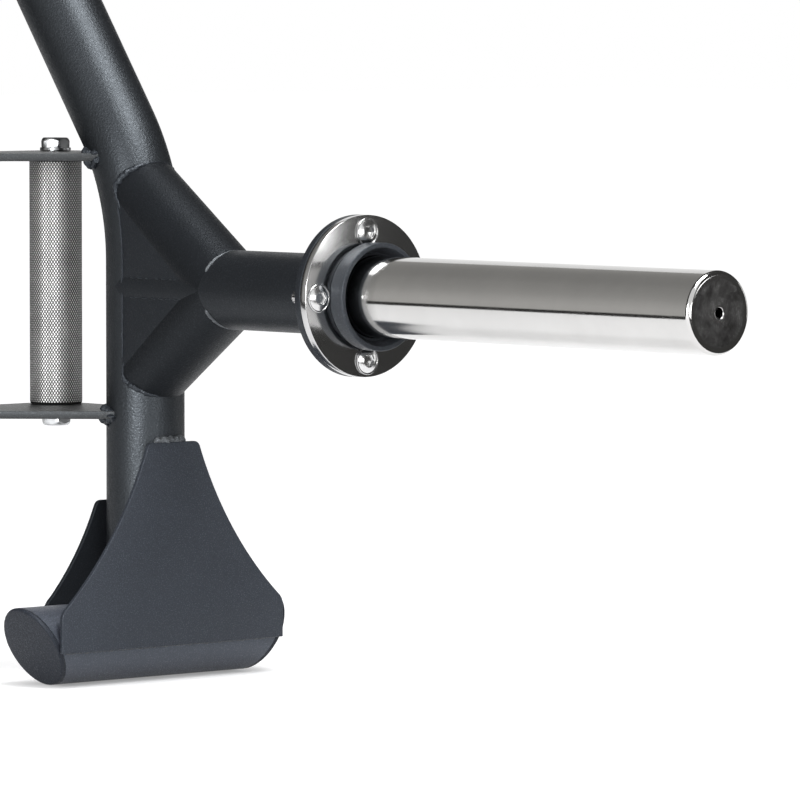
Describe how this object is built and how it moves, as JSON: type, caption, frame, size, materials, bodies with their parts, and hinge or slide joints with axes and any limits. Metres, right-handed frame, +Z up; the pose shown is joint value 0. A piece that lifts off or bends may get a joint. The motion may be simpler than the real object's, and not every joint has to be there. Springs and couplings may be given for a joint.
{
  "type": "open-ended trap bar",
  "caption": "Upright open-ended trap bar: bent tube frame on cross feet, braced stubs with bolted load sleeves, and low and raised knurled handles.",
  "frame": {"origin": "on the floor below the middle of the frame, centre of the bounding box's base", "axes": "+X along the bar from sleeve to sleeve, -Y towards the raised handles, +Z up with the bar standing on its feet"},
  "size_m": [1.86, 0.212, 0.675],
  "materials": {
    "paint": "fine textured charcoal powder coat",
    "web_paint": "fine textured dark powder coat",
    "plate_paint": "fine textured charcoal powder coat",
    "foot_paint": "fine textured charcoal powder coat",
    "sleeve_chrome": "bright turned chrome",
    "handle_chrome": "knurled chrome",
    "zinc": "bright zinc plate",
    "plug_steel": "turned steel",
    "ring_satin": "satin black"
  },
  "bodies": {
    "root": {"frame_tube": "paint", "stub_tube_right": "paint", "brace_upper_right": "paint", "brace_lower_right": "paint", "web_upper_front_right": "web_paint", "web_upper_back_right": "web_paint", "web_lower_front_right": "web_paint", "web_lower_back_right": "web_paint", "frame_flange_right": "web_paint", "sleeve_flange_right": "sleeve_chrome", "flange_screw_top_right": "zinc", "flange_screw_bottom_right": "zinc", "flange_screw_front_right": "zinc", "flange_screw_back_right": "zinc", "sleeve_tube_right": "sleeve_chrome", "sleeve_end_plug_right": "plug_steel", "collar_ring_right": "ring_satin", "handle_plate_upper_right": "plate_paint", "handle_plate_lower_right": "plate_paint", "handle_low_right": "handle_chrome", "handle_bolt_low_upper_right": "zinc", "handle_bolt_low_lower_right": "zinc", "handle_raised_right": "handle_chrome", "handle_bolt_raised_upper_right": "zinc", "handle_bolt_raised_lower_right": "zinc", "foot_tube_right": "foot_paint", "foot_end_cap_front_right": "foot_paint", "foot_end_cap_back_right": "foot_paint", "foot_plate_outer_right": "foot_paint", "foot_plate_inner_right": "web_paint", "stub_tube_left": "paint", "brace_upper_left": "paint", "brace_lower_left": "paint", "web_upper_front_left": "web_paint", "web_upper_back_left": "web_paint", "web_lower_front_left": "web_paint", "web_lower_back_left": "web_paint", "frame_flange_left": "web_paint", "sleeve_flange_left": "sleeve_chrome", "flange_screw_top_left": "zinc", "flange_screw_bottom_left": "zinc", "flange_screw_front_left": "zinc", "flange_screw_back_left": "zinc", "sleeve_tube_left": "sleeve_chrome", "sleeve_end_plug_left": "plug_steel", "collar_ring_left": "ring_satin", "handle_plate_upper_left": "plate_paint", "handle_plate_lower_left": "plate_paint", "handle_low_left": "handle_chrome", "handle_bolt_low_upper_left": "zinc", "handle_bolt_low_lower_left": "zinc", "handle_raised_left": "handle_chrome", "handle_bolt_raised_upper_left": "zinc", "handle_bolt_raised_lower_left": "zinc", "foot_tube_left": "foot_paint", "foot_end_cap_front_left": "foot_paint", "foot_end_cap_back_left": "foot_paint", "foot_plate_outer_left": "foot_paint", "foot_plate_inner_left": "web_paint"}
  },
  "joints": []
}
